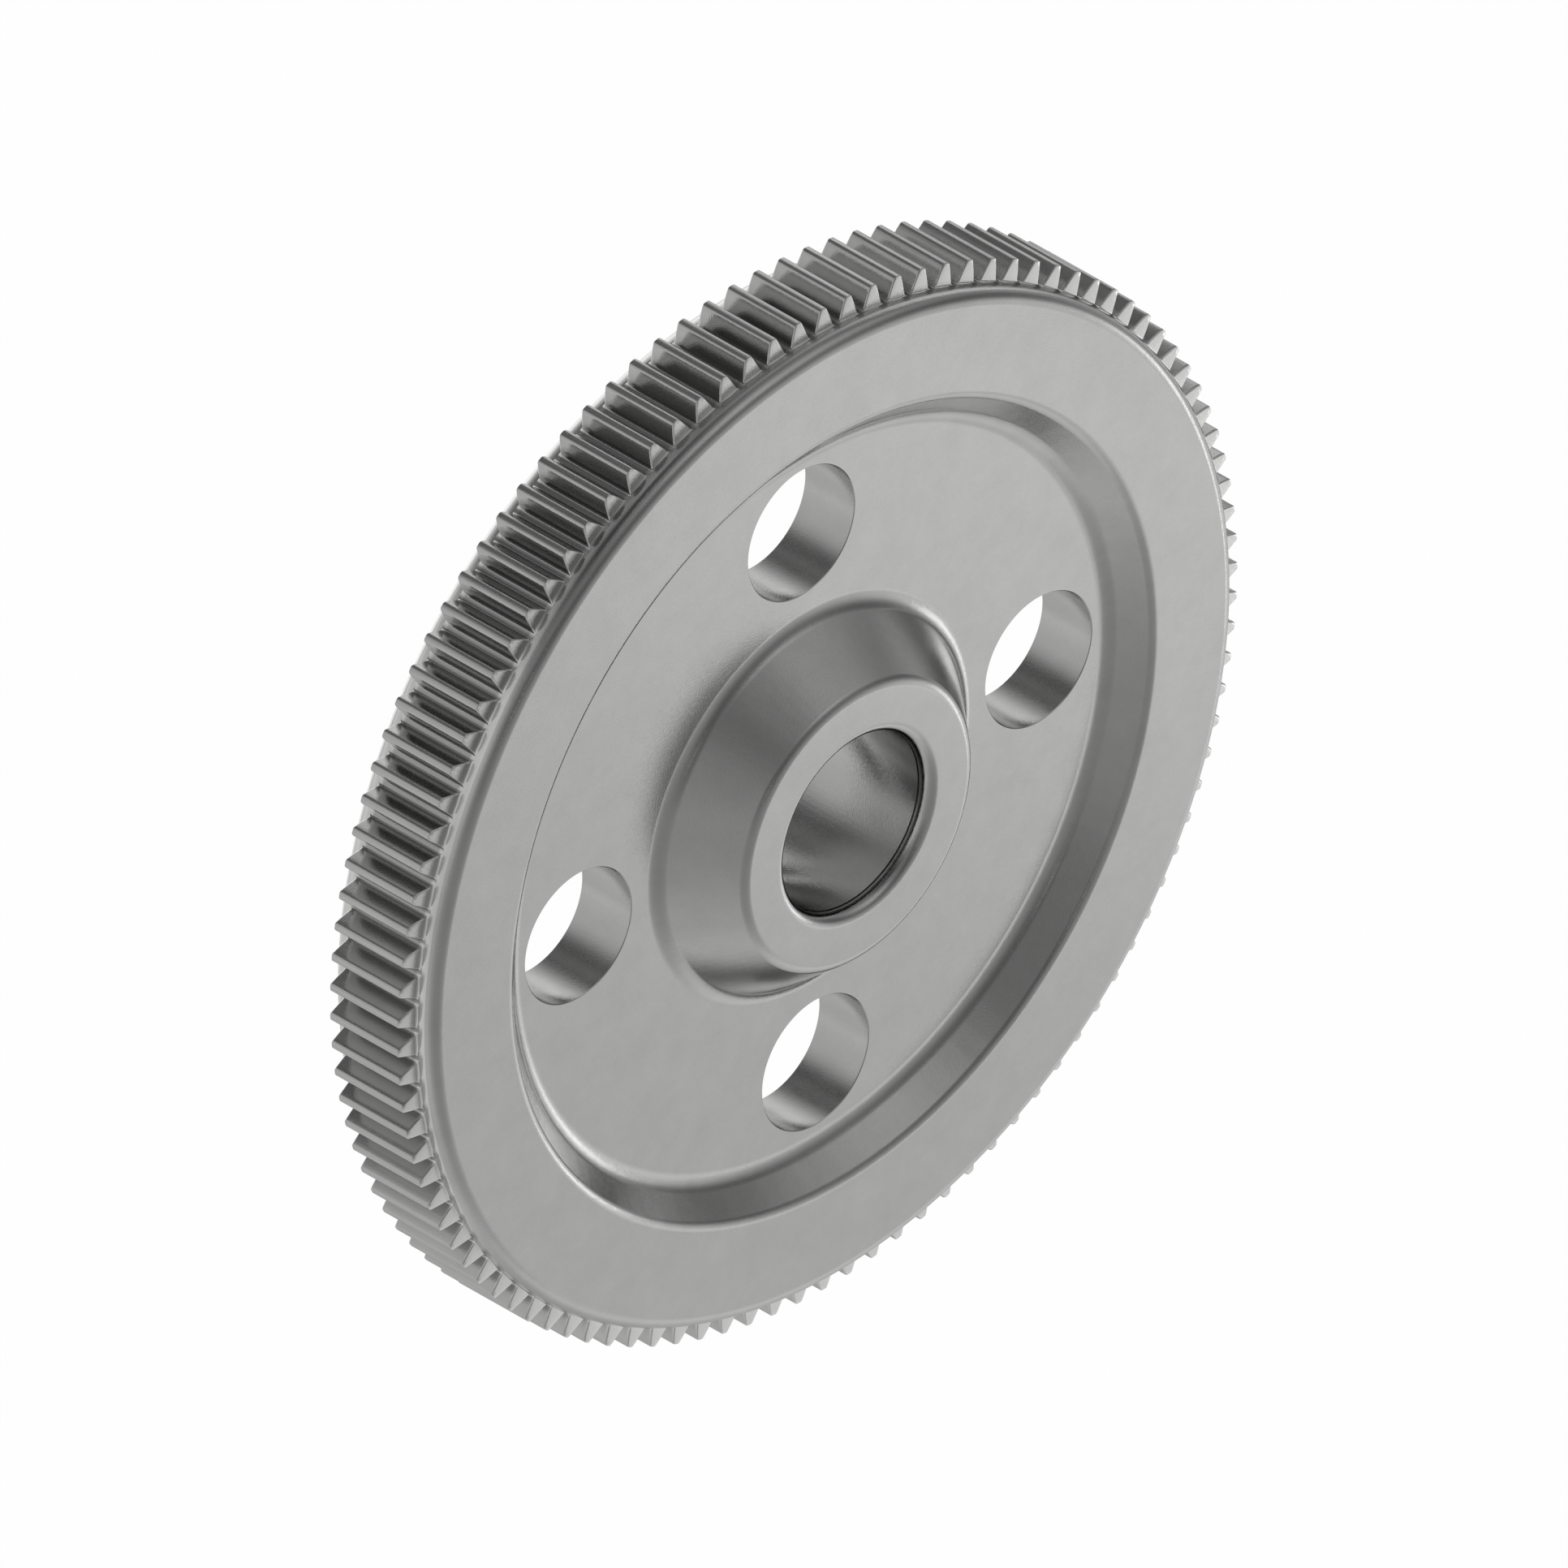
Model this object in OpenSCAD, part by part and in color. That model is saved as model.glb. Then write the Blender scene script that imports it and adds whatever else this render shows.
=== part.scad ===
// Spur gear wheel with a dished web, four lightening holes and a tapered hub.
// The axis is +Z. The wheel lies on its back face at z = 0, and the hub points up.

/* [Teeth] */
// Number of teeth
teeth = 105; // [95:1:125]
// Module of the teeth, the pitch diameter divided by their number
tooth_module = 2; // [1.9:0.05:2.4]
// Pressure angle of the flanks, in degrees
pressure_angle = 20; // [17.5:0.5:22.5]
// Length of a tooth along the axis, at its crest
face_width = 17; // [12:0.5:19]
// Clearance below the mating tooth, as a part of the module
root_clearance = 0.25; // [0.15:0.05:0.35]
// Radius of the fillet at the foot of each flank
root_fillet = 0.5; // [0.3:0.05:0.6]
// Radius on the two long edges of each crest
crest_edge_radius = 0.4; // [0.2:0.05:0.5]
// Distance that the foot of each tooth end stands out past its crest
end_slope = 0.5; // [0:0.1:1]

/* [Rim] */
// Width of the rim along the axis
rim_width = 25.5; // [24:0.5:32]
// Radial thickness of the rim at its faces
rim_thickness = 20.9; // [17:0.1:25]
// Radius on the outer edges of the rim
rim_edge_radius = 3; // [1:0.25:3.5]
// Draft of the dished wall under the rim, measured from the axis in degrees
rim_draft = 43; // [25:1:50]
// Radius on the lip between the rim face and the dished wall
rim_lip_radius = 2.75; // [1:0.25:4]
// Radius of the fillet between the dished wall and the web
rim_foot_radius = 5; // [2:0.25:6]

/* [Web] */
// Thickness of the web
web_thickness = 12.7; // [8:0.1:15]
// Number of lightening holes
holes = 4; // [3:1:6]
// Diameter of each lightening hole
hole_diameter = 27; // [16:0.5:30]
// Flat web left between a hole and the foot of the rim
hole_margin = 3.5; // [2:0.1:6]

/* [Hub] */
// Height of the hub above the back face
hub_height = 31.9; // [28:0.1:40]
// Radius of the hub at its front face, before its edge is rounded
hub_radius = 28.7; // [26:0.1:33]
// Draft of the hub's side, measured from the axis in degrees
hub_draft = 39; // [15:1:42]
// Radius on the edge of the hub's faces
hub_edge_radius = 2.75; // [1:0.25:4]
// Radius of the fillet between the hub and the web
hub_foot_radius = 4.5; // [2:0.25:6]

/* [Bore] */
// Diameter of the bore
bore_diameter = 36; // [25:0.5:40]
// Radius on the mouths of the bore
bore_mouth_radius = 2.5; // [1:0.25:3]

/* [Hidden] */

steel = [0.62, 0.63, 0.62];
flank_steps = 3;
fillet_steps = 2;
crest_edge_steps = 2;
overrun = 1;
$fn = 96;

// Gear circles
pitch_radius = teeth * tooth_module / 2;
base_radius = pitch_radius * cos(pressure_angle);
tip_radius = pitch_radius + tooth_module;
root_radius = pitch_radius - (1 + root_clearance) * tooth_module;
half_pitch = 180 / teeth;

// Levels along the axis
middle = rim_width / 2;
web_back = middle - web_thickness / 2;
web_front = middle + web_thickness / 2;

// Radii where the sloping walls would meet the flat faces in sharp corners
lip_radius = root_radius - rim_thickness;
rim_foot = lip_radius - (rim_width - web_front) * tan(rim_draft);
hub_foot = hub_radius + (hub_height - web_front) * tan(hub_draft);
hub_back_radius = hub_foot - web_back * tan(hub_draft);
bore_radius = bore_diameter / 2;
hole_circle_radius = rim_foot - hole_margin - hole_diameter / 2;

// The involute function, in degrees
function involute(angle) = tan(angle) * 180 / PI - angle;

// Pressure angle at a radius
function flank_angle(radius) = acos(base_radius / radius);

// Half the angle that the gap between two teeth takes at a radius
function half_gap(radius) =
    half_pitch / 2 - involute(pressure_angle) + involute(flank_angle(radius));

// A point at a radius and at an angle from +X, where the middle of the first gap lies
function at(radius, angle) = radius * [cos(angle), sin(angle)];

// The fillet at the foot of a flank. The flank leaves the root circle leaning at an angle from +X,
// and the fillet runs from the floor of the gap to its top point on the flank.
lean = half_gap(root_radius) + flank_angle(root_radius);
fillet_run = root_fillet * tan(45 - flank_angle(root_radius) / 2);
fillet_centre = at(root_radius, half_gap(root_radius))
    + at(fillet_run, lean) + at(root_fillet, lean - 90);
fillet_start = 180 + atan2(fillet_centre.y, fillet_centre.x);
fillet_end = 90 + lean;

function fillet_point(step) =
    fillet_centre + at(root_fillet, fillet_start + (fillet_end - fillet_start) * step / fillet_steps);

fillet_top_radius = norm(fillet_point(fillet_steps));

// The rounded edge between a flank and the crest. The flank arrives leaning at an angle from +X.
tip_lean = half_gap(tip_radius) + flank_angle(tip_radius);
crest_edge_run = crest_edge_radius * tan(45 - flank_angle(tip_radius) / 2);
crest_edge_centre = at(tip_radius, half_gap(tip_radius))
    - at(crest_edge_run, tip_lean) + at(crest_edge_radius, tip_lean + 90);
crest_edge_start = tip_lean - 90;
crest_edge_end = half_gap(tip_radius);

function crest_edge_point(step) =
    let (angle = crest_edge_start + (crest_edge_end - crest_edge_start) * step / crest_edge_steps)
    crest_edge_centre + at(crest_edge_radius, angle);

flank_top_radius = norm(crest_edge_point(0));

function flank_point(step) =
    let (radius = fillet_top_radius + (flank_top_radius - fillet_top_radius) * step / flank_steps)
    at(radius, half_gap(radius));

// One side of a gap, from its floor out to the crest of the tooth
gap_side = concat(
    [for (step = [0 : fillet_steps]) fillet_point(step)],
    [for (step = [1 : flank_steps - 1]) flank_point(step)],
    [for (step = [0 : crest_edge_steps]) crest_edge_point(step)]
);

// The whole gap: the other side mirrored across the X axis, then this side
gap_outline = concat(
    [for (i = [len(gap_side) - 1 : -1 : 0]) [gap_side[i].x, -gap_side[i].y]],
    gap_side
);

function turned(point, angle) =
    [point.x * cos(angle) - point.y * sin(angle), point.x * sin(angle) + point.y * cos(angle)];

module gear_outline() {
    polygon([for (i = [0 : teeth - 1], point = gap_outline) turned(point, 2 * half_pitch * i)]);
}

// The sliver between a corner and the arc that rounds it. It is added to fill an inner corner, and
// taken away to round an outer one.
module corner_sliver(before, corner, after, radius) {
    to_before = (before - corner) / norm(before - corner);
    to_after = (after - corner) / norm(after - corner);
    half_angle = acos(to_before * to_after) / 2;
    run = radius / tan(half_angle);
    bisector = (to_before + to_after) / norm(to_before + to_after);
    difference() {
        polygon([corner + run * to_before, corner, corner + run * to_after]);
        translate(corner + radius / sin(half_angle) * bisector) circle(radius);
    }
}

// Half of the wheel's section without its teeth, with the axis on the left
module section() {
    bore_back = [bore_radius, 0];
    hub_back = [hub_back_radius, 0];
    hub_foot_back = [hub_foot, web_back];
    rim_foot_back = [rim_foot, web_back];
    lip_back = [lip_radius, 0];
    edge_back = [root_radius, 0];
    edge_front = [root_radius, rim_width];
    lip_front = [lip_radius, rim_width];
    rim_foot_front = [rim_foot, web_front];
    hub_foot_front = [hub_foot, web_front];
    hub_front = [hub_radius, hub_height];
    bore_front = [bore_radius, hub_height];
    difference() {
        union() {
            polygon([
                bore_back, hub_back, hub_foot_back, rim_foot_back, lip_back, edge_back,
                edge_front, lip_front, rim_foot_front, hub_foot_front, hub_front, bore_front
            ]);
            corner_sliver(hub_back, hub_foot_back, rim_foot_back, hub_foot_radius);
            corner_sliver(hub_foot_back, rim_foot_back, lip_back, rim_foot_radius);
            corner_sliver(lip_front, rim_foot_front, hub_foot_front, rim_foot_radius);
            corner_sliver(rim_foot_front, hub_foot_front, hub_front, hub_foot_radius);
        }
        corner_sliver(bore_front, bore_back, hub_back, bore_mouth_radius);
        corner_sliver(bore_back, hub_back, hub_foot_back, hub_edge_radius);
        corner_sliver(rim_foot_back, lip_back, edge_back, rim_lip_radius);
        corner_sliver(lip_back, edge_back, edge_front, rim_edge_radius);
        corner_sliver(edge_back, edge_front, lip_front, rim_edge_radius);
        corner_sliver(edge_front, lip_front, rim_foot_front, rim_lip_radius);
        corner_sliver(hub_foot_front, hub_front, bore_front, hub_edge_radius);
        corner_sliver(hub_front, bore_front, bore_back, bore_mouth_radius);
    }
}

// The toothed ring: the gear outline, cut back at both ends so that the tooth ends slope
module tooth_ring() {
    crest_half = face_width / 2;
    foot_half = crest_half + end_slope;
    inner_radius = root_radius - tooth_module;
    intersection() {
        translate([0, 0, middle - foot_half]) linear_extrude(2 * foot_half) gear_outline();
        rotate_extrude() polygon([
            [inner_radius, middle - foot_half],
            [root_radius, middle - foot_half],
            [tip_radius + tooth_module, middle - crest_half],
            [tip_radius + tooth_module, middle + crest_half],
            [root_radius, middle + foot_half],
            [inner_radius, middle + foot_half]
        ]);
    }
}

module gear_wheel() {
    color(steel) difference() {
        union() {
            rotate_extrude() section();
            tooth_ring();
        }
        for (i = [0 : holes - 1]) rotate(i * 360 / holes)
            translate([hole_circle_radius, 0, web_back - overrun])
                cylinder(r = hole_diameter / 2, h = web_thickness + 2 * overrun);
    }
}

gear_wheel();
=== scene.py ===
# %% [markdown]
# # A gear wheel
# This lesson dresses a steel gear wheel for a product picture. The wheel is one piece of metal:
# a ring of 105 teeth, a thick rim, a thin web with four holes, and a tapered hub with a bore.
# The CAD part is loaded first. It fixes the size and the place of everything that follows.

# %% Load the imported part
import math

import bmesh
import bpy
from mathutils import Matrix, Vector


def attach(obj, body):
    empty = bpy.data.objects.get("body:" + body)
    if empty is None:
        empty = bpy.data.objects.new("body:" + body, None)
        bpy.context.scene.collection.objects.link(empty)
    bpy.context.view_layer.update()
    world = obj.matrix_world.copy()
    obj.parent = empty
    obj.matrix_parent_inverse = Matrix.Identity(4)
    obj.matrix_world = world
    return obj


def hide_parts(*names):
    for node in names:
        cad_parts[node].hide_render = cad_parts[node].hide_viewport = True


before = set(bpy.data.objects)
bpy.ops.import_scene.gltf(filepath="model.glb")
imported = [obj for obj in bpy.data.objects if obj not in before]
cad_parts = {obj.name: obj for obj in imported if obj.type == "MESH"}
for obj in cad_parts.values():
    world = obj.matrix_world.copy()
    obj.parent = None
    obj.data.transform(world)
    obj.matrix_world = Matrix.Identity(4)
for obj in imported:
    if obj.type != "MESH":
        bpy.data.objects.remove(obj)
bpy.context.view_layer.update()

# %% [markdown]
# ## The sizes of the wheel
# A maker reads these off the drawing, so they come before any shape. They are in millimetres,
# and one helper turns them into the metres that Blender works in here. The wheel lies on its
# back face, so the heights are measured upwards from that face along the axis.

# %% The sizes
TEETH = 105
MODULE = 2.0
PRESSURE_ANGLE = math.radians(20)
TOOTH_LENGTH = 17.0
TOOTH_END_SLOPE = 0.5
RIM_WIDTH = 25.5
MIDDLE = RIM_WIDTH / 2
WEB_BACK, WEB_FRONT = 6.4, 19.1
HUB_TOP = 31.9
BORE_RADIUS = 18.0
HOLE_RADIUS = 13.5
HOLE_CIRCLE_RADIUS = 58.632

PITCH_RADIUS = TEETH * MODULE / 2
BASE_RADIUS = PITCH_RADIUS * math.cos(PRESSURE_ANGLE)
TIP_RADIUS = PITCH_RADIUS + MODULE
ROOT_RADIUS = PITCH_RADIUS - 1.25 * MODULE
PITCH_ANGLE = 2 * math.pi / TEETH

LIP_RADIUS = ROOT_RADIUS - 20.9
RIM_FOOT = LIP_RADIUS - (RIM_WIDTH - WEB_FRONT) * math.tan(math.radians(43))
HUB_SLOPE = math.tan(math.radians(39))
HUB_RADIUS = 28.7
HUB_FOOT = HUB_RADIUS + (HUB_TOP - WEB_FRONT) * HUB_SLOPE
HUB_BACK_RADIUS = HUB_FOOT - WEB_BACK * HUB_SLOPE
print("tip", TIP_RADIUS, "root", ROOT_RADIUS)
print("rim foot", round(RIM_FOOT, 2), "hub foot", round(HUB_FOOT, 2))

# %% Small helpers for metres and for selecting
def m(*millimetres):
    """Millimetres to metres, as a vector or as one number."""
    metres = [value / 1000 for value in millimetres]
    return metres[0] if len(metres) == 1 else Vector(metres)


def nothing_selected():
    """Leaves edit mode and deselects every object."""
    if bpy.context.mode != "OBJECT":
        bpy.ops.object.mode_set(mode="OBJECT")
    bpy.ops.object.select_all(action="DESELECT")


def make_active(thing):
    """Selects one object, so that the operators work on it alone."""
    nothing_selected()
    thing.select_set(True)
    bpy.context.view_layer.objects.active = thing


def select_in_edit(thing, kind, wanted):
    """In edit mode, selects only the vertices, edges or faces whose corners all pass the test."""
    bpy.ops.mesh.select_mode(type={"verts": "VERT", "edges": "EDGE", "faces": "FACE"}[kind])
    bpy.ops.mesh.select_all(action="DESELECT")
    mesh = bmesh.from_edit_mesh(thing.data)
    for element in getattr(mesh, kind):
        corners = [element.co] if kind == "verts" else [v.co for v in element.verts]
        if wanted([1000 * c for c in corners]):
            element.select_set(True)
    mesh.select_flush_mode()
    bmesh.update_edit_mesh(thing.data)


def near(value, target, slack=0.01):
    """True if a length in millimetres is as good as another."""
    return abs(value - target) < slack


# %% [markdown]
# ## The involute
# The side of a gear tooth is an involute, the curve that the end of a taut string draws as it
# unwinds from a circle. It lets two gears roll on each other without a change of speed. Only the
# width of the tooth at each radius is needed, so one short function gives half of its angle.

# %% Half the angle that a tooth takes at a radius
def involute(angle):
    """The angle by which an involute has run away from its start."""
    return math.tan(angle) - angle


def half_tooth_angle(radius):
    """Half of the angle that the tooth fills, seen from the axis."""
    flank = math.acos(BASE_RADIUS / radius)
    return PITCH_ANGLE / 4 + involute(PRESSURE_ANGLE) - involute(flank)


def tooth_row(radius):
    """Distance from the axis, half width and half length of the tooth at a radius."""
    angle = half_tooth_angle(radius)
    rise = (radius - ROOT_RADIUS) / (TIP_RADIUS + MODULE - ROOT_RADIUS)
    half_length = TOOTH_LENGTH / 2 + TOOTH_END_SLOPE * (1 - rise)
    return radius * math.cos(angle), radius * math.sin(angle), half_length


print("crest width", round(2 * tooth_row(TIP_RADIUS)[1], 3), "mm")

# %% [markdown]
# ## One tooth
# All 105 teeth are the same, so one is modelled with care and then copied round. It starts as a
# flat strip of the rim, one tooth pitch wide. Cuts mark out where the tooth stands, and that
# patch is extruded outwards row by row. After each row it is scaled to the width that the
# involute gives there. A box with tapered sides would be quicker, but its sides would be flat,
# and the long soft reflections along the flanks would be missing.

# %% A strip of the rim, one pitch wide
STRIP_HALF = 9.6
FLANK_ROWS = 4

nothing_selected()
bpy.ops.mesh.primitive_plane_add(
    size=1, location=m(ROOT_RADIUS, 0, MIDDLE), rotation=(0, math.pi / 2, 0)
)
tooth = bpy.context.object
tooth.name = "tooth"
tooth.scale = m(2 * STRIP_HALF, 2 * ROOT_RADIUS * math.tan(PITCH_ANGLE / 2), 1000)
bpy.ops.object.transform_apply(location=True, rotation=True, scale=True)

foot_x, (_, foot_y, foot_z) = ROOT_RADIUS, tooth_row(ROOT_RADIUS)
cuts = [((0, y, 0), (0, 1, 0)) for y in (-foot_y, 0, foot_y)]
cuts += [((0, 0, MIDDLE + z), (0, 0, 1)) for z in (-foot_z, foot_z)]
bpy.ops.object.mode_set(mode="EDIT")
for place, direction in cuts:
    bpy.ops.mesh.select_all(action="SELECT")
    bpy.ops.mesh.bisect(plane_co=m(*place), plane_no=direction)
print("strip:", len(bmesh.from_edit_mesh(tooth.data).faces), "faces")

# %% Raise the tooth in rows
def under_the_tooth(corners):
    """True if a face lies in the patch that the tooth stands on."""
    reach_y, reach_z = foot_y + 0.01, foot_z + 0.01
    return all(abs(c.y) < reach_y and abs(c.z - MIDDLE) < reach_z for c in corners)


select_in_edit(tooth, "faces", under_the_tooth)
before = (foot_x, foot_y, foot_z)
for row in range(1, FLANK_ROWS + 1):
    after = tooth_row(ROOT_RADIUS + (TIP_RADIUS - ROOT_RADIUS) * row / FLANK_ROWS)
    rise = m(after[0] - before[0], 0, 0)
    bpy.ops.mesh.extrude_region_move(TRANSFORM_OT_translate={"value": rise})
    bpy.ops.transform.resize(
        value=(1, after[1] / before[1], after[2] / before[2]), center_override=m(0, 0, MIDDLE)
    )
    before = after
crest_x, crest_y, crest_z = before
print("tooth height", round(crest_x - foot_x, 3), "mm")

# %% [markdown]
# ## Soft edges on the tooth
# No machined edge is perfectly sharp. Each one catches a thin line of light, and those lines are
# what the eye reads as metal. The Bevel modifier can round many edges in one go, and a weight on
# each edge says how much of its width it gets. So the foot, the crest and the ends have their
# own radii, and the corners where they meet still close cleanly.

# %% Give each edge of the tooth its weight
EDGE_WIDTH = 0.50
WEIGHT_FOOT, WEIGHT_CREST, WEIGHT_CREST_END, WEIGHT_END = 0.72, 1.0, 0.36, 0.72
SMALL_STEP = 0.3


def edge_weight(a, b):
    """The share of the full width that the edge from a to b gets."""
    low, high = min(a.x, b.x), max(a.x, b.x)
    across = abs(a.y - b.y) >= SMALL_STEP
    level = near(a.z, b.z, SMALL_STEP)
    at_end = level and min(abs(a.z - MIDDLE), abs(b.z - MIDDLE)) > crest_z - 0.05
    if high < foot_x + 0.01:
        on_side = near(abs(a.y), foot_y) and near(abs(b.y), foot_y) and near(a.y, b.y)
        within = max(abs(a.z - MIDDLE), abs(b.z - MIDDLE)) < foot_z + 0.01
        on_end = near(abs(a.z - MIDDLE), foot_z) and near(a.z, b.z)
        inside = max(abs(a.y), abs(b.y)) < foot_y + 0.01
        return WEIGHT_FOOT if (on_side and within) or (on_end and inside) else 0
    if low > crest_x - 0.01:
        if near(abs(a.y), crest_y) and near(a.y, b.y):
            return WEIGHT_CREST
        return WEIGHT_CREST_END if at_end and across else 0
    upright = high - low > SMALL_STEP
    return WEIGHT_END if upright and at_end and min(abs(a.y), abs(b.y)) > 0.1 else 0


mesh = bmesh.from_edit_mesh(tooth.data)
layers, name = mesh.edges.layers.float, "bevel_weight_edge"
weights = layers.get(name) or layers.new(name)
for edge in mesh.edges:
    edge[weights] = edge_weight(*[1000 * v.co for v in edge.verts])
print("edges with a weight:", sum(edge[weights] > 0 for edge in mesh.edges))
bmesh.update_edit_mesh(tooth.data)
bpy.ops.object.mode_set(mode="OBJECT")

# %% Round them
bevel = tooth.modifiers.new("soft_edges", "BEVEL")
bevel.limit_method = "WEIGHT"
bevel.width = m(EDGE_WIDTH)
bevel.segments = 3
bpy.ops.object.modifier_apply(modifier=bevel.name)
print("tooth:", len(tooth.data.polygons), "faces")

# %% [markdown]
# ## Bend the strip and copy the tooth
# The strip is still flat, and the rim is round. The Cast modifier pushes vertices out to a
# cylinder round the axis, and a vertex group keeps it to the floor of the gaps. Then the spin
# tool, set to make copies, repeats the tooth all the way round, and merging the doubles turns
# 105 pieces into one closed ring. An Array modifier would do the same in more steps.

# %% Cast the floor onto the root circle
floor_group = tooth.vertex_groups.new(name="gap_floor")
on_floor = [v.index for v in tooth.data.vertices if near(1000 * v.co.x, ROOT_RADIUS, 0.001)]
floor_group.add(on_floor, 1, "REPLACE")
cast = tooth.modifiers.new("round_floor", "CAST")
cast.cast_type = "CYLINDER"
cast.factor = 1
cast.use_radius_as_size = False
cast.size = m(ROOT_RADIUS)
cast.use_z = False
cast.vertex_group = floor_group.name
bpy.ops.object.transform_apply(location=True, rotation=True, scale=True)
bpy.ops.object.modifier_apply(modifier=cast.name)
radii = [1000 * tooth.data.vertices[i].co.xy.length for i in on_floor]
print("floor radius", round(min(radii), 4), "to", round(max(radii), 4))

# %% Copy it round the axis
MERGE_RING = 0.02


def tell_faces(title):
    """Prints what the wheel has while it is in edit mode."""
    ring = bmesh.from_edit_mesh(wheel.data)
    print(title, len(ring.faces), "faces,", sum(e.is_boundary for e in ring.edges), "open edges")


wheel = tooth
wheel.name = "wheel"
bpy.ops.object.mode_set(mode="EDIT")
bpy.ops.mesh.select_all(action="SELECT")
bpy.ops.transform.rotate(value=-PITCH_ANGLE / 2, orient_axis="Z", center_override=(0, 0, 0))
bpy.ops.mesh.spin(
    steps=TEETH - 1, dupli=True, angle=PITCH_ANGLE * (TEETH - 1), center=(0, 0, 0), axis=(0, 0, 1)
)
bpy.ops.mesh.select_all(action="SELECT")
bpy.ops.mesh.remove_doubles(threshold=m(MERGE_RING))
tell_faces("ring:")

# %% [markdown]
# ## The rest of the wheel
# Rim, web, hub and bore are round about the axis, so they are a lathe form. One way is to draw
# half of the section and spin it. Here the ring already has its 315 columns, so its open front
# edge is drawn along the section instead: extrude, scale towards the axis, move. Each step makes
# one sharp corner of the section. The last step lands on the open back edge and is merged. A thin
# groove runs round the bore, just inside its front mouth, where it shows as a dark line.

# %% Draw the front edge along the section
GROOVE_WIDTH, GROOVE_DEPTH = 0.45, 0.9
GROOVE_TOP = HUB_TOP - 2.6
GROOVE_FOOT = GROOVE_TOP - GROOVE_WIDTH
GROOVE_RADIUS = BORE_RADIUS + GROOVE_DEPTH

section = [
    (ROOT_RADIUS, RIM_WIDTH), (LIP_RADIUS, RIM_WIDTH),
    (RIM_FOOT, WEB_FRONT), (HUB_FOOT, WEB_FRONT),
    (HUB_RADIUS, HUB_TOP), (BORE_RADIUS, HUB_TOP),
    (BORE_RADIUS, GROOVE_TOP), (GROOVE_RADIUS, GROOVE_TOP),
    (GROOVE_RADIUS, GROOVE_FOOT), (BORE_RADIUS, GROOVE_FOOT),
    (BORE_RADIUS, 0), (HUB_BACK_RADIUS, 0),
    (HUB_FOOT, WEB_BACK), (RIM_FOOT, WEB_BACK),
    (LIP_RADIUS, 0), (ROOT_RADIUS, 0),
    (ROOT_RADIUS, MIDDLE - STRIP_HALF),
]
radius, height = ROOT_RADIUS, MIDDLE + STRIP_HALF
select_in_edit(wheel, "edges", lambda ends: all(near(v.z, height, 0.001) for v in ends))
for next_radius, next_height in section:
    step = m(0, 0, next_height - height)
    bpy.ops.mesh.extrude_region_move(TRANSFORM_OT_translate={"value": step})
    scale = next_radius / radius
    bpy.ops.transform.resize(value=(scale, scale, 1), center_override=(0, 0, 0))
    radius, height = next_radius, next_height
bpy.ops.mesh.select_all(action="SELECT")
bpy.ops.mesh.remove_doubles(threshold=m(MERGE_RING))
bpy.ops.mesh.normals_make_consistent(inside=False)
tell_faces("closed wheel:")

# %% [markdown]
# ## The rounded corners of the section
# The corners drawn so far are sharp. Each one now gets its own radius. The bevel tool asks how far
# the rounding runs back from the corner, and that is the radius times the tangent of half the
# angle by which the surface turns there. So each corner is given by its place, radius and turn.

# %% Round its corners
CORNERS = [
    (ROOT_RADIUS, RIM_WIDTH, 3.0, 90), (LIP_RADIUS, RIM_WIDTH, 2.75, 47),
    (RIM_FOOT, WEB_FRONT, 5.0, 47), (HUB_FOOT, WEB_FRONT, 4.5, 51),
    (HUB_RADIUS, HUB_TOP, 2.75, 51), (BORE_RADIUS, HUB_TOP, 2.5, 90),
    (BORE_RADIUS, 0, 2.5, 90), (HUB_BACK_RADIUS, 0, 2.75, 51),
    (HUB_FOOT, WEB_BACK, 4.5, 51), (RIM_FOOT, WEB_BACK, 5.0, 47),
    (LIP_RADIUS, 0, 2.75, 47), (ROOT_RADIUS, 0, 3.0, 90),
]


def on_the_corner(ends):
    """True if an edge runs along the corner in hand."""
    return all(near(v.z, height) and near(v.xy.length, radius, 0.02) for v in ends)


for radius, height, rounding, turn in CORNERS:
    select_in_edit(wheel, "edges", on_the_corner)
    run, segments = rounding * math.tan(math.radians(turn / 2)), 8 if turn == 90 else 6
    bpy.ops.mesh.bevel(offset=m(run), segments=segments, affect="EDGES", clamp_overlap=False)
bpy.ops.object.mode_set(mode="OBJECT")
print("rounded wheel:", len(wheel.data.polygons), "faces")

# %% [markdown]
# ## Four lightening holes
# The holes are bored through the web. A Boolean modifier cuts them with four cylinders whose
# ends flare by a hair, so each hole comes out with the small chamfer that a deburring tool
# leaves on its edge. The cuts can leave points on the rims that nearly coincide, and those are
# merged.

# %% Make the cutters
HOLES, CHAMFER, HOLE_SIDES, OVERRUN = 4, 0.15, 96, 1.0


def select_end(thing, side):
    """Selects the end face that looks up, for side 1, or down, for side -1."""
    bpy.ops.mesh.select_mode(type="FACE")
    bpy.ops.mesh.select_all(action="DESELECT")
    mesh = bmesh.from_edit_mesh(thing.data)
    for face in mesh.faces:
        face.select_set(face.normal.z * side > 0.9)
    bmesh.update_edit_mesh(thing.data)


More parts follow.
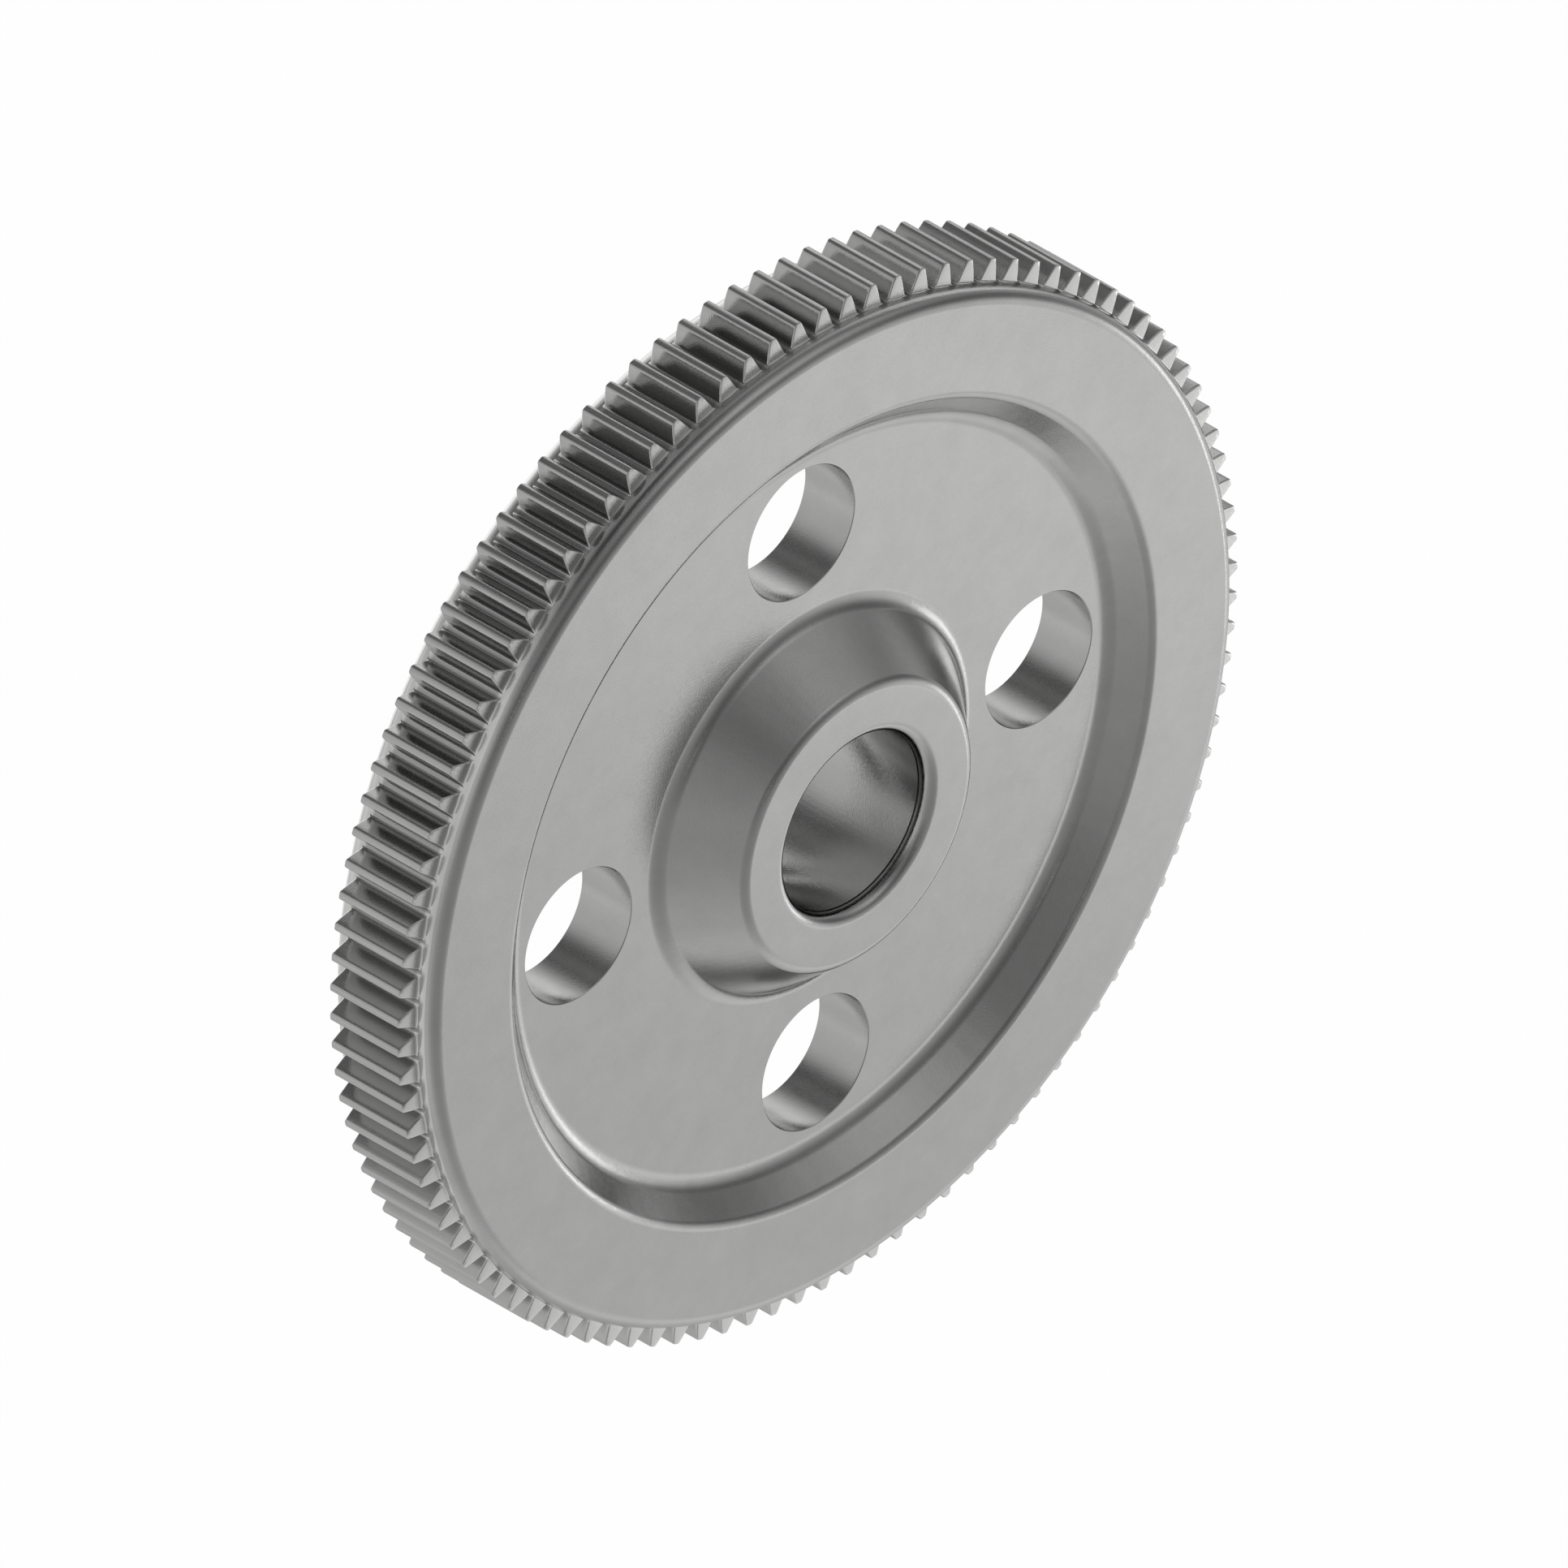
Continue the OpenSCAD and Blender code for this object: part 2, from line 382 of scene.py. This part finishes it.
cutters = []
for index in range(HOLES):
    angle = index * 2 * math.pi / HOLES
    place = m(HOLE_CIRCLE_RADIUS * math.cos(angle), HOLE_CIRCLE_RADIUS * math.sin(angle), MIDDLE)
    nothing_selected()
    bpy.ops.mesh.primitive_cylinder_add(
        vertices=HOLE_SIDES, radius=m(HOLE_RADIUS), depth=m(WEB_FRONT - WEB_BACK - 2 * CHAMFER),
        location=place,
    )
    cutter = bpy.context.object
    bpy.ops.object.mode_set(mode="EDIT")
    for side in (1, -1):
        select_end(cutter, side)
        for step, flare in ((2 * CHAMFER, 1 + 2 * CHAMFER / HOLE_RADIUS), (OVERRUN, 1)):
            bpy.ops.mesh.extrude_region_move(
                TRANSFORM_OT_translate={"value": m(0, 0, side * step)}
            )
            bpy.ops.transform.resize(value=(flare, flare, 1), center_override=place)
    bpy.ops.object.mode_set(mode="OBJECT")
    cutters.append(cutter)
print("cutters:", len(cutters))

# %% Cut the holes
MERGE_RIMS = 0.005

for cutter in cutters:
    make_active(wheel)
    bore_out = wheel.modifiers.new("hole", "BOOLEAN")
    bore_out.operation = "DIFFERENCE"
    bore_out.solver = "EXACT"
    bore_out.object = cutter
    bpy.ops.object.modifier_apply(modifier=bore_out.name)
    bpy.data.objects.remove(cutter)

make_active(wheel)
bpy.ops.object.mode_set(mode="EDIT")
bpy.ops.mesh.select_all(action="SELECT")
bpy.ops.mesh.remove_doubles(threshold=m(MERGE_RIMS))
tell_faces("with holes:")
bpy.ops.object.mode_set(mode="OBJECT")

# %% [markdown]
# ## Smooth shading
# Smooth shading hides the facets, but on its own it would also bend the light on the flat faces.
# The Weighted Normal modifier lets the large flat faces decide the normals at their borders, so
# flats stay flat and only the rounded edges turn.

# %% Shade it
SMOOTH_UNDER = 38

make_active(wheel)
bpy.ops.object.shade_smooth_by_angle(angle=math.radians(SMOOTH_UNDER))
weighted = wheel.modifiers.new("flat_faces_rule", "WEIGHTED_NORMAL")
weighted.keep_sharp = True
weighted.weight = 80
bpy.ops.object.modifier_apply(modifier=weighted.name)
wheel.data.calc_loop_triangles()
print("triangles:", len(wheel.data.loop_triangles))

# %% [markdown]
# ## Satin steel
# The wheel has the even, slightly cloudy skin of a part that was turned and then tumbled or
# blasted with fine glass beads. Metal has no paint colour: what it shows is its surroundings,
# tinted and blurred. So the colour and the blur are nearly constant, and the life comes from faint
# clouds in the colour and the gloss, and from a very fine grain in the surface. A picture of steel
# wrapped round the wheel would show its seams and stretch on the teeth. Noise in three dimensions
# fills the space that the wheel is in, so it runs on round every edge.

# %% Helpers for building materials
def math_node(tree, operation, first, second):
    """Joins two values, each of them a number or the output of another node."""
    node = tree.nodes.new("ShaderNodeMath")
    node.operation = operation
    for socket, value in zip(node.inputs, (first, second)):
        if isinstance(value, (int, float)):
            socket.default_value = value
        else:
            tree.links.new(value, socket)
    return node.outputs[0]


def mapped(tree, value, low, high, at_low, at_high, way="LINEAR"):
    """Turns a value between low and high into one between at_low and at_high."""
    node = tree.nodes.new("ShaderNodeMapRange")
    node.interpolation_type = way
    numbers = {"From Min": low, "From Max": high, "To Min": at_low, "To Max": at_high}
    for name, number in numbers.items():
        node.inputs[name].default_value = number
    tree.links.new(value, node.inputs["Value"])
    return node.outputs["Result"]


def part_of(tree, vector, axis):
    """One of the three parts of a vector."""
    parts = tree.nodes.new("ShaderNodeSeparateXYZ")
    tree.links.new(vector, parts.inputs[0])
    return parts.outputs[axis]


def flat_length(tree, vector):
    """The length of a vector when its third part is left out."""
    flat = tree.nodes.new("ShaderNodeVectorMath")
    flat.operation = "MULTIPLY"
    flat.inputs[1].default_value = (1, 1, 0)
    tree.links.new(vector, flat.inputs[0])
    length = tree.nodes.new("ShaderNodeVectorMath")
    length.operation = "LENGTH"
    tree.links.new(flat.outputs[0], length.inputs[0])
    return length.outputs["Value"]


# %% The steel
steel = bpy.data.materials.new("satin_steel")
steel.use_nodes = True
tree = steel.node_tree
shader = tree.nodes["Principled BSDF"]
shader.inputs["Metallic"].default_value = 1.0
place = tree.nodes.new("ShaderNodeTexCoord").outputs["Object"]


def noise(scale, detail, rough=0.5):
    """Cloudy noise. Its scale is the number of patches in a metre."""
    texture = tree.nodes.new("ShaderNodeTexNoise")
    texture.inputs["Scale"].default_value = scale
    texture.inputs["Detail"].default_value = detail
    texture.inputs["Roughness"].default_value = rough
    tree.links.new(place, texture.inputs["Vector"])
    return texture.outputs["Fac"]


# %% Clouds in the gloss, waves and grain in the surface
GLOSS_CLOUDS, WAVES, GRAIN = 55, 75, 5200
NOISE_LOW, NOISE_HIGH = 0.3, 0.7
GLOSSIEST, DULLEST = 0.06, 0.11
WAVE_HEIGHT, GRAIN_HEIGHT, GRAIN_STRENGTH = 3, 0.05, 0.45

clouds = noise(GLOSS_CLOUDS, 4, 0.55)
gloss = mapped(tree, clouds, NOISE_LOW, NOISE_HIGH, GLOSSIEST, DULLEST)
tree.links.new(gloss, shader.inputs["Roughness"])
waves = mapped(tree, noise(WAVES, 1.5, 0.4), 0, 1, 0, WAVE_HEIGHT)
bump = tree.nodes.new("ShaderNodeBump")
bump.inputs["Strength"].default_value = GRAIN_STRENGTH
bump.inputs["Distance"].default_value = m(GRAIN_HEIGHT)
tree.links.new(math_node(tree, "ADD", waves, noise(GRAIN, 1)), bump.inputs["Height"])
tree.links.new(bump.outputs["Normal"], shader.inputs["Normal"])
print("clouds of", round(1000 / GLOSS_CLOUDS), "mm, grain of", round(1000 / GRAIN, 2), "mm")

# %% [markdown]
# ## Painted shade and highlight on the steel
# The gap floors between the teeth get painted shade: their colour is darker towards the root,
# where little light gets in. The ends of the teeth get a painted highlight: their colour is
# brighter than the rest of the steel. Both zones follow from the place on the wheel, its distance
# from the axis and its height, so no picture is needed.

# %% The painted shade and highlight
# Factors on the colour: painted shade in the gaps and a painted highlight on the tooth ends.
GAP_SHADE, END_PAINTED_HIGHLIGHT = 0.8, 1.3
GAP_FOOT, GAP_TOP = ROOT_RADIUS + 0.4, TIP_RADIUS - 1.5
TOOTH_REACH = 2.7
FLANK_REACH, END_START = TOOTH_LENGTH / 2 - 0.3, TOOTH_LENGTH / 2 + 0.05


def within(value, middle, reach):
    """1 where a length is no further than reach from the middle, and 0 elsewhere."""
    inside = math_node(tree, "COMPARE", value, m(middle))
    inside.node.inputs[2].default_value = m(reach)
    return inside


from_axis = flat_length(tree, place)
level = part_of(tree, place, "Z")
at_teeth = within(from_axis, PITCH_RADIUS, TOOTH_REACH)
# Painted shade: the colour of the gap floors gets darker towards the root.
depth = mapped(tree, from_axis, m(GAP_FOOT), m(GAP_TOP), 1 - GAP_SHADE, 0)
in_gap = math_node(tree, "MULTIPLY", within(level, MIDDLE, FLANK_REACH), at_teeth)
shade = mapped(tree, math_node(tree, "MULTIPLY", depth, in_gap), 0, 1, 1, 0)
# Painted highlight: the colour of the tooth ends, past the flanks, is made brighter.
past_flanks = mapped(tree, within(level, MIDDLE, END_START), 0, 1, 1, 0)
end_painted_highlight = mapped(tree, math_node(tree, "MULTIPLY", past_flanks, at_teeth), 0, 1, 1, END_PAINTED_HIGHLIGHT)

# %% The colour
STEEL = (0.48, 0.48, 0.475)
TINT_CLOUDS, DARKEST, LIGHTEST = 110, 0.955, 1.045

tint = mapped(tree, noise(TINT_CLOUDS, 6, 0.75), NOISE_LOW, NOISE_HIGH, DARKEST, LIGHTEST)
# The tone is the painted shade and the painted highlight, times the random tint clouds.
tone = math_node(tree, "MULTIPLY", math_node(tree, "MULTIPLY", shade, end_painted_highlight), tint)
colour = tree.nodes.new("ShaderNodeVectorMath")
colour.operation = "SCALE"
colour.inputs[0].default_value = STEEL
tree.links.new(tone, colour.inputs["Scale"])
tree.links.new(colour.outputs[0], shader.inputs["Base Color"])
wheel.data.materials.clear()
wheel.data.materials.append(steel)
print("material:", steel.name, "with", len(tree.nodes), "nodes")

# %% The wheel takes the CAD part's place
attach(wheel, "root")
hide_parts("gear_wheel")

# %% [markdown]
# ## The camera
# The picture is taken with parallel rays, as a technical picture often is: far edges are as
# large as near ones. The camera stands above the front face, on the side where the teeth show,
# and is rolled so that the wheel seems to stand upright. A point on the axis, at a known height,
# is laid on its own place in the picture.

# %% Camera
IMAGE_PX, PX_PER_METRE = 1932, 6842.4
AXIS_LEVEL, AXIS_PX = 21.25, (1006.268, 988.218)
CAMERA_AWAY, CAMERA_END = 1, 10
yaw, pitch, phase = math.radians(45), math.radians(34.36), math.radians(-1.75)

turn = Matrix.Rotation(phase, 3, "Z")
right = turn @ Vector((math.cos(yaw), 0, math.sin(yaw)))
up = turn @ Vector((
    math.sin(pitch) * math.sin(yaw), math.cos(pitch), -math.sin(pitch) * math.cos(yaw)
))
towards = right.cross(up)
middle_px = (IMAGE_PX - 1) / 2
to_right = (middle_px - AXIS_PX[0]) / PX_PER_METRE
to_top = (AXIS_PX[1] - middle_px) / PX_PER_METRE
centre = m(0, 0, AXIS_LEVEL) + right * to_right + up * to_top

camera = bpy.data.objects.new("camera", bpy.data.cameras.new("camera"))
bpy.context.scene.collection.objects.link(camera)
camera.data.type = "ORTHO"
camera.data.ortho_scale = IMAGE_PX / PX_PER_METRE
camera.data.clip_end = CAMERA_END
turned = Matrix((right, up, towards)).transposed().to_4x4()
turned.translation = centre + towards * CAMERA_AWAY
camera.matrix_world = turned
bpy.context.scene.camera = camera
print("camera looks from", [round(v, 3) for v in towards])

# %% [markdown]
# ## A white floor
# The floor is plain and nearly white, and so is all that lies behind it. The camera sees pure
# white there, while a small part of the floor stays a normal surface, so that it keeps a faint
# shadow under the wheel. The metal looks through it at the light tent of the next step, as if
# the wheel hung in the middle of the tent.

# %% The floor
FLOOR_SIZE, PAPER_WHITE, PAPER_ROUGH, WHITE_SHARE = 6, 0.9, 0.9, 0.985

nothing_selected()
bpy.ops.mesh.primitive_plane_add(size=FLOOR_SIZE, location=(0, 0, 0))
floor = bpy.context.object
floor.name = "floor"
floor.visible_glossy = False


def white_when_seen(tree, plain, share):
    """Mixes a plain shader with pure white for the rays that look at it."""
    path = tree.nodes.new("ShaderNodeLightPath")
    seen = path.outputs["Is Camera Ray"]
    for ray in ("Is Glossy Ray", "Is Transmission Ray"):
        seen = math_node(tree, "MAXIMUM", seen, path.outputs[ray])
    white = tree.nodes.new("ShaderNodeEmission")
    mix = tree.nodes.new("ShaderNodeMixShader")
    tree.links.new(math_node(tree, "MULTIPLY", seen, share), mix.inputs[0])
    tree.links.new(plain.outputs[0], mix.inputs[1])
    tree.links.new(white.outputs[0], mix.inputs[2])
    return mix.outputs[0]


paper = bpy.data.materials.new("white_floor")
paper.use_nodes = True
paper.cycles.emission_sampling = "NONE"
tree = paper.node_tree
plain = tree.nodes["Principled BSDF"]
plain.inputs["Base Color"].default_value = (PAPER_WHITE, PAPER_WHITE, PAPER_WHITE, 1)
plain.inputs["Roughness"].default_value = PAPER_ROUGH
seen_floor = white_when_seen(tree, plain, WHITE_SHARE)
tree.links.new(seen_floor, tree.nodes["Material Output"].inputs["Surface"])
floor.data.materials.append(paper)

# %% The backdrop
world = bpy.data.worlds.new("white_backdrop")
bpy.context.scene.world = world
world.use_nodes = True
backdrop = world.node_tree.nodes["Background"]
backdrop.inputs["Color"].default_value = (1, 1, 1, 1)
backdrop.inputs["Strength"].default_value = 1
print("floor and backdrop are white")

# %% [markdown]
# ## The light tent
# Bare metal has hardly any look of its own: it shows what stands around it. Lighting it therefore
# means building what it sees. A photographer of steel parts puts them in a white tent, and hangs
# soft lamps and dark cards round it until each curve of the metal has a bright and a dark side.
# The tent here is one sphere of glowing cloth that the camera looks through. The cloth is bright
# behind the wheel and greyer on the camera's side. Each card on it has a direction, given as
# right, up and towards the camera, a half width and half height in degrees, a roll, an edge from
# 0, soft, to 1, hard, and a level, where 1 is white.

# %% The cloth and the cards
CLOTH = [(-1, 0.92), (-0.5, 0.90), (-0.2, 0.85), (0.1, 0.72), (0.5, 0.60), (1, 0.50)]
CARDS = {
    "grey card, right": ((0.57, -0.43, 0.70), 66, 75, 11, 0, 0.34),
    "lamp, left": ((-0.67, 0.10, 0.73), 36, 56, 27, 0, 0.73),
    "dark card, middle": ((0.59, -0.24, 0.77), 45, 29, 18, 0, 0.15),
    "round lamp": ((0.86, 0.40, 0.32), 75, 20, -4, 0.34, 0.57),
    "dark card, right": ((0.94, 0.33, -0.09), 29, 55, -65, 0, 0.17),
    "dark strip, high": ((0.56, 0.82, 0.11), 75, 31, -18, 0, 0.24),
    "lamp, high right": ((0.60, 0.72, -0.35), 32, 10, -53, 0.14, 0.92),
    "thin strip": ((0.76, 0.44, -0.48), 34, 6, -54, 0.85, 0.41),
    "rim lamp": ((0.85, -0.14, -0.51), 4, 18, 16, 0, 3.6),
    "dark card, top": ((-0.13, 0.58, 0.81), 55, 44, -38, 0, 0.07),
    "spot, top": ((-0.13, 0.75, 0.65), 10, 17, 5, 0.29, 0.14),
    "grey card, low": ((-0.23, -0.41, -0.88), 54, 75, 10, 0, 0.47),
    "dark card, above": ((-0.11, 0.98, 0.16), 41, 28, 79, 0.15, 0.14),
    "dark card, teeth": ((-0.59, 0.78, 0.21), 46, 43, 31, 0, 0.27),
    "lamp, behind": ((-0.51, 0.39, -0.77), 34, 52, 26, 0, 1.66),
    "grey strip, left": ((-0.76, -0.34, -0.56), 31, 75, -14, 0, 0.79),
    "dark strip, behind": ((0.35, 0.63, -0.70), 45, 11, -83, 0.85, 0.24),
    "small lamp, top": ((-0.19, 0.79, 0.58), 10, 7, 0, 0.31, 0.34),
    "dark strip, teeth right": ((-0.32, 0.95, 0.04), 10, 21, 0, 0.23, 0.15),
    "dark strip, teeth left": ((-0.65, 0.72, 0.23), 11, 23, -7, 0.11, 0.11),
    "lamp, teeth": ((0.07, 0.84, -0.54), 10, 14, 7, 0.18, 1.00),
    "lamp, low left": ((-0.74, -0.52, -0.43), 26, 25, -6, 0.36, 0.70),
}

# %% The tent
TENT_RADIUS = 2

nothing_selected()
bpy.ops.mesh.primitive_uv_sphere_add(
    segments=48, ring_count=24, radius=TENT_RADIUS, location=(0, 0, 0)
)
tent = bpy.context.object
tent.name = "light_tent"
tent.visible_camera = False


def bare_material(name):
    """A new material that holds nothing yet but its Object coordinates."""
    material = bpy.data.materials.new(name)
    material.use_nodes = True
    material.cycles.emission_sampling = "NONE"
    material.node_tree.nodes.clear()
    coordinates = material.node_tree.nodes.new("ShaderNodeTexCoord")
    return material, material.node_tree, coordinates.outputs["Object"]


cloth, tree, where = bare_material("tent_cloth")
way = tree.nodes.new("ShaderNodeVectorMath")
way.operation = "NORMALIZE"
tree.links.new(where, way.inputs[0])

# %% Helpers for the cloth and a card
LEAST_AHEAD = 0.05


def ramp(tree, value, stops):
    """A smooth row of grey levels along a value from 0 to 1."""
    tones = tree.nodes.new("ShaderNodeValToRGB")
    tree.links.new(value, tones.inputs["Fac"])
    while len(tones.color_ramp.elements) < len(stops):
        tones.color_ramp.elements.new(0.5)
    for element, (position, level) in zip(tones.color_ramp.elements, stops):
        element.position = position
        element.color = (level, level, level, 1)
    return tones.outputs["Color"]


def hang(tree, way, so_far, direction, half_width, half_height, roll, edge, level):
    """Lays one soft card over the levels made so far."""
    ahead = (right * direction[0] + up * direction[1] + towards * direction[2]).normalized()
    side = up.cross(ahead).normalized()
    turned = Matrix((side, ahead.cross(side), ahead)).transposed()
    turned = turned @ Matrix.Rotation(math.radians(roll), 3, "Z")
    card = tree.nodes.new("ShaderNodeMapping")
    card.vector_type = "TEXTURE"
    card.inputs["Rotation"].default_value = turned.to_euler()
    card.inputs["Scale"].default_value = (
        math.tan(math.radians(half_width)), math.tan(math.radians(half_height)), 1
    )
    tree.links.new(way, card.inputs["Vector"])
    in_front = math_node(tree, "MAXIMUM", part_of(tree, card.outputs[0], "Z"), LEAST_AHEAD)
    reach = math_node(tree, "DIVIDE", flat_length(tree, card.outputs[0]), in_front)
    over = tree.nodes.new("ShaderNodeMix")
    over.data_type = "FLOAT"
    tree.links.new(mapped(tree, reach, edge, 1, 1, 0, "SMOOTHSTEP"), over.inputs[0])
    tree.links.new(so_far, over.inputs[2])
    over.inputs[3].default_value = level
    return over.outputs[0]


# %% Hang them
facing = tree.nodes.new("ShaderNodeVectorMath")
facing.operation = "DOT_PRODUCT"
facing.inputs[1].default_value = towards
tree.links.new(way.outputs[0], facing.inputs[0])
from_0_to_1 = math_node(tree, "MULTIPLY_ADD", facing.outputs["Value"], 0.5)
from_0_to_1.node.inputs[2].default_value = 0.5
light = ramp(tree, from_0_to_1, [((cosine + 1) / 2, level) for cosine, level in CLOTH])
for card in CARDS.values():
    light = hang(tree, way.outputs[0], light, *card)
glow = tree.nodes.new("ShaderNodeEmission")
tree.links.new(light, glow.inputs["Color"])
output = tree.nodes.new("ShaderNodeOutputMaterial")
tree.links.new(glow.outputs[0], output.inputs["Surface"])
tent.data.materials.append(cloth)
print("cards in the tent:", len(CARDS))

# %% [markdown]
# ## A near panel for the flat faces
# All rays that leave a flat face run the same way, so a far tent gives a flat face one even tone.
# A lamp that stands near is seen at another point of itself from each part of the face, and
# that brings a slow change of light across the wheel. So one soft panel hangs half a metre away,
# just where the front faces look, brighter on the side of the teeth and fading out at its edge.

# %% Hang the panel
PANEL_RADIUS, PANEL_DISTANCE, BRIGHT_SIDE = 170, 500, 68


def only_in_the_metal(thing):
    """Hides a thing of the studio from all but the reflections."""
    for way_of_seeing in ("visible_camera", "visible_diffuse", "visible_shadow"):
        setattr(thing, way_of_seeing, False)


axis = Vector((0, 0, 1))
outwards = 2 * towards.dot(axis) * axis - towards
bright_angle = math.radians(BRIGHT_SIDE)
bright_side = Vector((math.cos(bright_angle), math.sin(bright_angle), 0))
along = (bright_side - bright_side.dot(outwards) * outwards).normalized()

nothing_selected()
bpy.ops.mesh.primitive_circle_add(vertices=64, radius=m(PANEL_RADIUS), fill_type="NGON")
panel = bpy.context.object
panel.name = "near_panel"
hung = Matrix((along, outwards.cross(along), outwards)).transposed().to_4x4()
hung.translation = m(0, 0, RIM_WIDTH) + outwards * m(PANEL_DISTANCE)
panel.matrix_world = hung
only_in_the_metal(panel)
print("panel hangs at", [round(v, 2) for v in hung.translation])

# %% Its silk
PANEL_DIM, PANEL_BRIGHT = 0.755, 1.0
DIM_UP_TO, BRIGHT_FROM, FADE_FROM = -60, 95, 100

silk, tree, where = bare_material("panel_silk")
across = part_of(tree, where, "X")
light = mapped(
    tree, across, m(DIM_UP_TO), m(BRIGHT_FROM), PANEL_DIM, PANEL_BRIGHT, "SMOOTHSTEP"
)
cover = mapped(tree, flat_length(tree, where), m(FADE_FROM), m(PANEL_RADIUS), 1, 0, "SMOOTHSTEP")
glow = tree.nodes.new("ShaderNodeEmission")
tree.links.new(light, glow.inputs["Color"])
see_through = tree.nodes.new("ShaderNodeBsdfTransparent")
fade = tree.nodes.new("ShaderNodeMixShader")
tree.links.new(cover, fade.inputs[0])
tree.links.new(see_through.outputs[0], fade.inputs[1])
tree.links.new(glow.outputs[0], fade.inputs[2])
output = tree.nodes.new("ShaderNodeOutputMaterial")
tree.links.new(fade.outputs[0], output.inputs["Surface"])
panel.data.materials.append(silk)

# %% [markdown]
# ## A collar under the bore
# A polished bore mirrors itself, so its dark and light bands depend on how far it runs. The bands
# in the picture are those of a bore that runs some millimetres further at the back, like one that
# stands on a collar of the same size. So a short steel collar stands under the bore, below the
# floor. The camera never sees it, only the metal does, and no light or shadow changes.

# %% The collar
COLLAR_DEPTH = 6.4

nothing_selected()
bpy.ops.mesh.primitive_cylinder_add(
    vertices=96, radius=m(BORE_RADIUS), depth=m(COLLAR_DEPTH), end_fill_type="NOTHING",
    location=m(0, 0, -COLLAR_DEPTH / 2),
)
collar = bpy.context.object
collar.name = "collar"
bpy.ops.object.shade_smooth()
only_in_the_metal(collar)
collar.data.materials.append(steel)
print("collar under the bore:", COLLAR_DEPTH, "mm")

# %% [markdown]
# ## The view transform
# The scene uses the Standard view transform.

# %% View transform
bpy.context.scene.view_settings.view_transform = "Standard"
